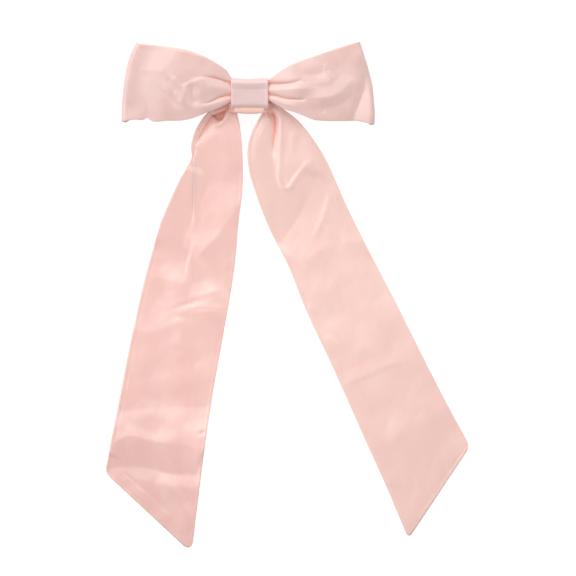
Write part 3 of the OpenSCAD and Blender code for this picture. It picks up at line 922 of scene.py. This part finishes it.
def make_tail_fold():
    """The folded middle of the tail ribbon, which shows as a strip below the knot."""
    half_width = 13.5
    low, high = -12.7, 6.0
    lip_height, lip_from, lip_to = 6.4, 8.5, 12.5
    x, t = np.meshgrid(np.linspace(-half_width, half_width, 60), spaced(22, 0.5), indexing="ij")
    y = low + (high - low) * t + 1.2 * (x / half_width) ** 2 * (1 - t)
    rise = lip_height * (1 - ramp(np.abs(x), lip_from, lip_to))
    z = GATHER_TOP - 1.2 + rise * (ramp(t, -0.03, 0.045) - 0.8 * ramp(t, 0.16, 0.34))
    cloth = np.stack([x, y, z], -1)
    for at in (-6.5, -1.5):
        ridge(cloth, [(-13, at), (0, at + 0.5), (13, at)], 0.5, 1.2, 0, 0)
    piece = doubled("tail_ribbon_fold", cloth, 0.9, STRIP_SATIN)
    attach(piece, "bow")
    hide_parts("tail_gather")


# ---------------------------------------------------------------- thread and felt


def twisted_thread(name, path_mm, radius, node):
    """Two-ply thread along a path."""
    step, twist = 0.16, 1.1
    curve = bpy.data.curves.new(name, "CURVE")
    curve.dimensions = "3D"
    curve.bevel_depth = 0.55 * radius * MM
    curve.bevel_resolution = 2
    path = np.asarray(path_mm, float)
    run = run_along(path)
    count = max(12, int(run[-1] / step))
    at = np.linspace(0, run[-1], count)
    centre = resample(path, run, at)
    ahead = unit(np.gradient(centre, axis=0))
    side = unit(np.cross(ahead, [0.31, 0.52, 0.79]))
    third = np.cross(ahead, side)
    for ply in (0, math.pi):
        turn = (at / twist * math.tau + ply)[:, None]
        line = centre + 0.5 * radius * (np.cos(turn) * side + np.sin(turn) * third)
        strand = curve.splines.new("POLY")
        strand.points.add(count - 1)
        strand.points.foreach_set("co", np.concatenate([line * MM, np.ones((count, 1))], 1).ravel())
    curve.materials.append(THREAD)
    piece = place_object(name, curve)
    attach(piece, "bow")
    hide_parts(node)


def make_threads():
    """All the sewing thread."""
    make_winding()
    for node in ("stitches_hinge_end", "stitches_catch_end"):
        make_clip_stitch(node)
    make_knot_seam()


def make_winding():
    """The thread that is wound round the waist."""
    turns, steps, gap = 6, 60, 0.2
    low, high = box_mm("gather_thread")
    ring = ring_in_box(low, high, gap, 2.2, steps)
    x = np.linspace(low[0] + gap, high[0] - gap, turns * steps, endpoint=False)
    path = np.column_stack([x, np.tile(ring, (turns, 1))])
    twisted_thread("waist_winding", path, 0.2, "gather_thread")


def make_clip_stitch(node):
    """Three turns of thread through the plate's hole and round its edge."""
    gap, bend, apart = 0.2, 0.5, 0.32
    low, high = box_mm(node)
    middle = 0.5 * (low[0] + high[0])
    _, y0, z0 = low + gap
    _, y1, z1 = high - gap
    path = []
    for x in (middle - apart, middle, middle + apart):
        path += [(x, y0, z1), (x, y0, z0 + bend), (x, y0 + bend, z0), (x, y1 - bend, z0),
                 (x, y1, z0 + bend), (x, y1, z1 - bend), (x + 0.2, y1 - bend, z1)]
    path.append((middle + 0.5, y0, z1))
    twisted_thread(node.replace("stitches", "clip_stitch"), path, 0.17, node)


def make_knot_seam():
    """Whipped stitches that close the band behind the knot."""
    gap = 0.2
    low, high = box_mm("knot_stitches")
    path = []
    for x in np.linspace(low[0] + gap, high[0] - gap, 5):
        path += [(x, low[1], high[2] + 0.3), (x, low[1] + 0.3, low[2] + 0.1),
                 (x + 0.3, high[1] - 0.3, low[2] + 0.1), (x + 0.35, high[1], high[2] + 0.3)]
    twisted_thread("knot_seam", path, 0.16, "knot_stitches")


def make_felt():
    """Felt pad with soft worn edges, bent over the arched plate."""
    low, high = box_mm("felt_pad")
    length, width = high[0] - low[0], high[1] - low[1]
    half_t = 0.4
    x, y = np.meshgrid(spaced(length, 0.8) * length + low[0], spaced(width, 0.7) * width + low[1],
                       indexing="ij")
    straight = (length - width) / 2
    over = np.clip(np.abs(x) - straight, 0, None) / (width / 2)
    y = y * np.sqrt(np.clip(1 - 0.995 * over**2, 0.004, 1))
    sag = high[2] - low[2] - 2 * half_t
    z = high[2] - half_t - sag * (2 * x / length) ** 2
    cloth = np.stack([x, y, z], -1)
    undulate(cloth, 3.5, 0.04, 41)
    piece = doubled("felt_backing", cloth, 0.78, FELT)
    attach(piece, "bow")
    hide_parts("felt_pad")


# ---------------------------------------------------------------- clip


def finish_clip():
    """Metal finishes and soft edges, in millimetres, for the CAD's own clip parts."""
    for name, metal, edge in (
            ("base_plate", PLATE, 0.12), ("clasp_arm", PLATE, 0.14), ("catch_saddle", PLATE, 0.1),
            ("hinge_pin", PLATE, 0.12), ("catch_rivet", PLATE, 0.14), ("tension_bar", SPRING, 0.1),
            ("catch_tab_upper", SPRING, 0.08), ("catch_tab_lower", SPRING, 0.08)):
        piece = nodes[name]
        piece.data.materials.clear()
        piece.data.materials.append(metal)
        bevel = piece.modifiers.new("soft_edges", "BEVEL")
        bevel.width = edge * MM
        bevel.segments = 2
        bevel.limit_method = "ANGLE"
        bevel.angle_limit = math.radians(35)
        bevel.harden_normals = True


# ---------------------------------------------------------------- stage


def make_floor():
    """A white table just under the bow. It casts no light of its own on the bow."""
    half, drop = 3.0, 0.2 * MM
    mesh = bpy.data.meshes.new("floor")
    corners = [(-half, -half), (half, -half), (half, half), (-half, half)]
    mesh.from_pydata([(x, y, -drop) for x, y in corners], [], [(0, 1, 2, 3)])
    material, _, shader = new_material("white_table")
    set_inputs(shader, {
        "Base Color": (0.55, 0.55, 0.55, 1),
        "Roughness": 0.9,
        "Emission Color": (1, 1, 1, 1),
        "Emission Strength": 0.72,
    })
    mesh.materials.append(material)
    floor = place_object("floor", mesh)
    floor.visible_diffuse = False
    floor.visible_glossy = False


def make_sky():
    """Soft white light all round: dimmer overhead and below, brighter on one side."""
    strength = 0.94
    darkest, brightest = 0.1, 1.45
    towards_light = (-0.34, 0.62, 0.0)
    world = bpy.data.worlds.new("studio")
    world.use_nodes = True
    tree = world.node_tree
    ray = add(tree, "ShaderNodeTexCoord").outputs["Generated"]
    split = add(tree, "ShaderNodeSeparateXYZ")
    link(tree, ray, split.inputs[0])
    overhead = map_range(tree, split.outputs["Z"], (0.8, 1.0), (1.2, 0.3), smooth=True)
    below = map_range(tree, split.outputs["Z"], (-0.4, 0.15), (0.75, 1.0), smooth=True)
    lean = add(tree, "ShaderNodeVectorMath", operation="DOT_PRODUCT")
    lean.inputs[1].default_value = towards_light
    link(tree, ray, lean.inputs[0])
    total = math_node(tree, "ADD", overhead, lean.outputs["Value"])
    total = math_node(tree, "MULTIPLY", total, below)
    total = math_node(tree, "MINIMUM", math_node(tree, "MAXIMUM", total, darkest), brightest)
    background = tree.nodes["Background"]
    background.inputs["Color"].default_value = (1.0, 1.0, 1.0, 1)
    link(tree, math_node(tree, "MULTIPLY", total, strength), background.inputs["Strength"])
    bpy.context.scene.world = world


def area_light(name, place, target, size, power):
    """A soft white lamp, aimed at a target."""
    lamp = bpy.data.lights.new(name, "AREA")
    lamp.shape = "RECTANGLE"
    lamp.size, lamp.size_y = size
    lamp.energy = power
    piece = place_object(name, lamp)
    piece.location = place
    piece.rotation_euler = (Vector(target) - Vector(place)).to_track_quat("-Z", "Y").to_euler()


def make_camera(middle, height, across):
    """A camera straight above, whose picture is as wide as the given length on the table."""
    camera = bpy.data.cameras.new("camera")
    camera.sensor_width = 36
    camera.lens = camera.sensor_width * height / across
    camera.clip_start = 0.1
    camera.clip_end = 20
    eye = place_object("camera", camera)
    eye.location = (*middle, height)
    bpy.context.scene.camera = eye


def make_stage():
    """Table, sky, lamps and camera."""
    make_floor()
    make_sky()
    area_light("key", (-0.30, 0.50, 0.92), (0.0, -0.08, 0), (1.1, 0.8), 2.8)
    area_light("fill", (0.8, -0.5, 0.8), (0.02, -0.1, 0), (0.8, 0.8), 0.3)
    make_camera(middle=(0.0243, -0.1238), height=2.5, across=0.3686)
    bpy.context.scene.view_settings.view_transform = "Standard"


make_loops()
make_tails()
make_knot()
make_waist()
make_tail_fold()
make_threads()
make_felt()
finish_clip()
make_stage()
